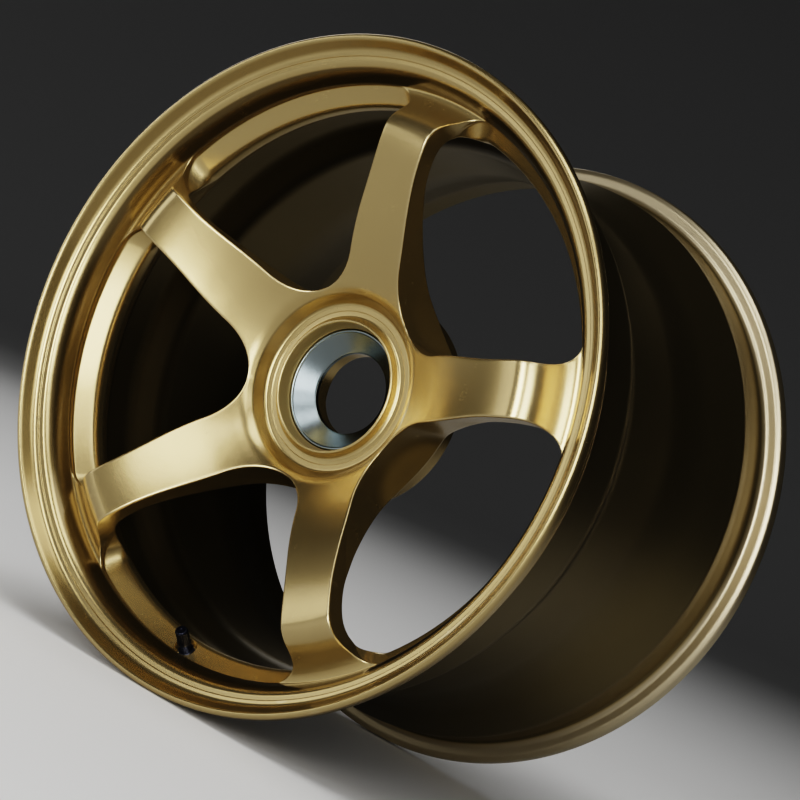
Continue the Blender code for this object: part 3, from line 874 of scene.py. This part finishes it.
def bush_metal():
    """Matt grey hard anodising with rubbed edges."""
    n = Nodes("hard_anodised_alloy")
    tone = n.mix(n.noise(180.0, 4.0), (0.17, 0.175, 0.185), (0.25, 0.255, 0.265))
    tone = n.mix(n.math("MULTIPLY", n.edges(0.51, 0.56), 0.7), tone, (0.62, 0.62, 0.63))
    rough = n.remap(n.noise(260.0, 3.0), 0.3, 0.7, 0.34, 0.48)
    n.set(colour=tone, rough=rough, metal=0.95, normal=n.bump(n.noise(1500.0), 0.0001, 0.15))
    return n.material


def black_anodise():
    """Black, slightly blue anodising with faint turning marks."""
    n = Nodes("black_anodised_alloy")
    tone = n.mix(n.noise(400.0, 3.0), (0.007, 0.008, 0.016), (0.016, 0.018, 0.034))
    tone = n.mix(n.math("MULTIPLY", n.edges(0.51, 0.57), 0.45), tone, (0.16, 0.17, 0.21))
    rough = n.remap(n.noise(600.0, 3.0), 0.3, 0.7, 0.24, 0.36)
    n.set(colour=tone, rough=rough, metal=0.75, normal=n.bump(n.noise(2500.0), 0.0001, 0.12),
          coat=0.2, coat_rough=0.2)
    return n.material


def soft_rubber():
    n = Nodes("valve_rubber")
    tone = n.mix(n.noise(500.0, 4.0), (0.012, 0.012, 0.012), (0.028, 0.027, 0.026))
    rough = n.remap(n.noise(700.0, 3.0), 0.3, 0.7, 0.62, 0.80)
    n.set(colour=tone, rough=rough, metal=0.0, normal=n.bump(n.noise(3200.0), 0.0001, 0.3))
    return n.material


def turned_brass():
    n = Nodes("turned_brass")
    tone = n.mix(n.noise(350.0, 4.0), (0.55, 0.37, 0.12), (0.68, 0.50, 0.20))
    rough = n.remap(n.noise(700.0, 3.0), 0.3, 0.7, 0.26, 0.42)
    n.set(colour=tone, rough=rough, metal=1.0, normal=n.bump(n.noise(2600.0), 0.0001, 0.15))
    return n.material


def spring_wire():
    n = Nodes("spring_wire")
    tone = n.mix(n.noise(900.0, 3.0), (0.40, 0.40, 0.41), (0.56, 0.56, 0.55))
    rough = n.remap(n.noise(900.0, 3.0), 0.3, 0.7, 0.25, 0.38)
    n.set(colour=tone, rough=rough, metal=1.0, normal=n.bump(n.noise(4000.0), 0.0001, 0.1))
    return n.material


def pale_floor():
    """Pale near the wheel and darker far away, a painted falloff of the lamps' light, and darker in reflections
    than it looks.
    """
    n = Nodes("pale_floor")
    length = n.add("ShaderNodeVectorMath", operation="LENGTH")
    n.link(n.place, length.inputs[0])
    # painted shade: the floor darkens with distance, standing in for the lamps' falloff
    far = n.remap(length.outputs["Value"], 0.8, 4.5, 0.0, 1.0)
    seen = n.mix(n.noise(1.5, 3.0), (0.70, 0.695, 0.685), (0.73, 0.725, 0.715))
    seen = n.mix(far, seen, (0.30, 0.30, 0.30))
    mirrored = n.mix(far, (0.34, 0.335, 0.325), (0.03, 0.03, 0.03))
    direct = n.add("ShaderNodeLightPath").outputs["Is Camera Ray"]
    tone = n.mix(direct, mirrored, seen)
    n.set(colour=tone, rough=0.85, metal=0.0, normal=n.bump(n.noise(40.0), 0.002, 0.05))
    return n.material


# ---------------------------------------------------------------- stage, light and camera

LAMP_DISTANCE = 2.6
WASH_PLACE = (-0.4, -0.9)             # where the floor's own lamp hangs, seen from above
CAMERA_TURN = math.radians(34.75)     # how far the camera stands round to the wheel's right
CAMERA_ROLL = math.radians(23.72)
CAMERA_LENS = 100.8
CAMERA_DISTANCE = 6.362               # in flange radii, like the two shifts below
CAMERA_SHIFT_X = -0.315
CAMERA_SHIFT_Y = 0.094


def camera_axes():
    """Right, up and viewing direction of the camera."""
    sin_turn, cos_turn = math.sin(CAMERA_TURN), math.cos(CAMERA_TURN)
    sin_roll, cos_roll = math.sin(CAMERA_ROLL), math.cos(CAMERA_ROLL)
    right = Vector((cos_turn * cos_roll, sin_turn * cos_roll, sin_roll))
    up = Vector((-cos_turn * sin_roll, -sin_turn * sin_roll, cos_roll))
    ahead = Vector((-sin_turn, cos_turn, 0))
    return right, up, ahead


def add_camera():
    data = bpy.data.cameras.new("camera")
    data.lens, data.sensor_width = CAMERA_LENS, 36.0
    data.clip_start, data.clip_end = 0.05, 60.0
    camera = bpy.data.objects.new("camera", data)
    bpy.context.scene.collection.objects.link(camera)
    right, up, ahead = camera_axes()
    face = Vector((0, -SIZES["half_width"] * MM, 0))
    offset = right * CAMERA_SHIFT_X + up * CAMERA_SHIFT_Y + ahead * CAMERA_DISTANCE
    turn = Matrix((right, up, -ahead)).transposed().to_4x4()
    camera.matrix_world = Matrix.Translation(face - offset * SIZES["flange"] * MM) @ turn
    bpy.context.scene.camera = camera


def add_area_light(name, place, target, size, power):
    data = bpy.data.lights.new(name, "AREA")
    data.shape, data.size, data.size_y = "RECTANGLE", size[0], size[1]
    data.energy = power
    light = bpy.data.objects.new(name, data)
    bpy.context.scene.collection.objects.link(light)
    light.location = place
    light.rotation_mode = "QUATERNION"
    light.rotation_quaternion = (Vector(target) - Vector(place)).to_track_quat("-Z", "Y")
    return light


def add_stage():
    """Pale floor under the wheel that curves up into a far backdrop on every side."""
    reach, rise, bend, steps, around = 7.0, 6.0, 3.0, 24, 96
    gap = 0.0004             # left under the wheel
    profile = [(0.0, 0.0)]
    for step in range(steps + 1):
        turn = math.pi / 2 * step / steps
        profile.append((reach - bend + bend * math.sin(turn), bend - bend * math.cos(turn)))
    profile.append((reach, rise))
    angle = np.arange(around) * TAU / around
    profile = np.array(profile)
    points = np.stack((profile[:, :1] * np.cos(angle), profile[:, :1] * np.sin(angle),
                       np.repeat(profile[:, 1:], around, axis=1)), axis=-1).reshape(-1, 3)
    points[:, 2] += SIZES["floor"] - gap
    data = bpy.data.meshes.new("floor")
    data.from_pydata(points.tolist(), [], grid_faces(len(profile), around, False, True).tolist())
    data.shade_smooth()
    floor = bpy.data.objects.new("floor", data)
    bpy.context.scene.collection.objects.link(floor)
    floor.data.materials.append(pale_floor())
    return floor


def add_world():
    world = bpy.data.worlds.new("studio")
    bpy.context.scene.world = world
    world.use_nodes = True
    background = world.node_tree.nodes["Background"]
    background.inputs["Color"].default_value = (1.0, 1.0, 1.0, 1.0)
    background.inputs["Strength"].default_value = 0.004


def set_tone_curve():
    """Film-like curve: deep shadows stay rich and bright metal turns creamy."""
    settings = bpy.context.scene.view_settings
    settings.view_transform, settings.look = "Filmic", "High Contrast"


def around_wheel(turn, lift):
    """A lamp's place: turn degrees from +X towards +Y, lift degrees above level."""
    turn, lift = math.radians(turn), math.radians(lift)
    return Vector((math.cos(turn) * math.cos(lift), math.sin(turn) * math.cos(lift),
                   math.sin(lift))) * LAMP_DISTANCE


def add_lights(floor):
    """Soft panels, mostly level with the wheel, and a wash that lights the floor alone."""
    panels = [("front_low", 270, 4, (0.9, 0.9), 19), ("front_high", 262, 27, (1.0, 1.0), 9),
              ("front_right", 305, 9, (1.1, 1.4), 20), ("right_high", 308, 36, (0.8, 0.8), 4),
              ("overhead", 292, 63, (1.1, 1.1), 9), ("front_left", 225, 4, (0.8, 1.0), 3),
              ("left_edge", 180, 6, (0.5, 1.0), 6), ("rear_fill", 148, 28, (1.4, 1.4), 6)]
    for name, turn, lift, size, power in panels:
        add_area_light(name, around_wheel(turn, lift), (0, 0, 0), size, power)
    wash = add_area_light("floor_wash", (*WASH_PLACE, 3.2), (*WASH_PLACE, 0), (2.4, 2.4), 60)
    only = bpy.data.collections.new("floor_only")
    only.objects.link(floor)
    wash.light_linking.receiver_collection = only


# ---------------------------------------------------------------- build

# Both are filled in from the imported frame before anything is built
SIZES = {}
BUSHES = []


def main():
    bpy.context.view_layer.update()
    SIZES.update(wheel_sizes())
    BUSHES.extend(sorted(name for name in frame["nodes"] if name.startswith("drive_bush")))
    build_forging()
    build_seat()
    build_bushes()
    build_valve()
    floor = add_stage()
    add_world()
    add_lights(floor)
    add_camera()
    set_tone_curve()


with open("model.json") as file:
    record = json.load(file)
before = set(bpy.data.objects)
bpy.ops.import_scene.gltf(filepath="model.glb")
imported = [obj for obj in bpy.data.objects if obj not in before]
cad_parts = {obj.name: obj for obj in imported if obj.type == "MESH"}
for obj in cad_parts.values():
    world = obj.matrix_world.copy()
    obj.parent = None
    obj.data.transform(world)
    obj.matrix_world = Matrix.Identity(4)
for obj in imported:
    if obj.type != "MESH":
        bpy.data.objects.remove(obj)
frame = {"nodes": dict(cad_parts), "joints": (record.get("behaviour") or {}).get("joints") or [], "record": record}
main()
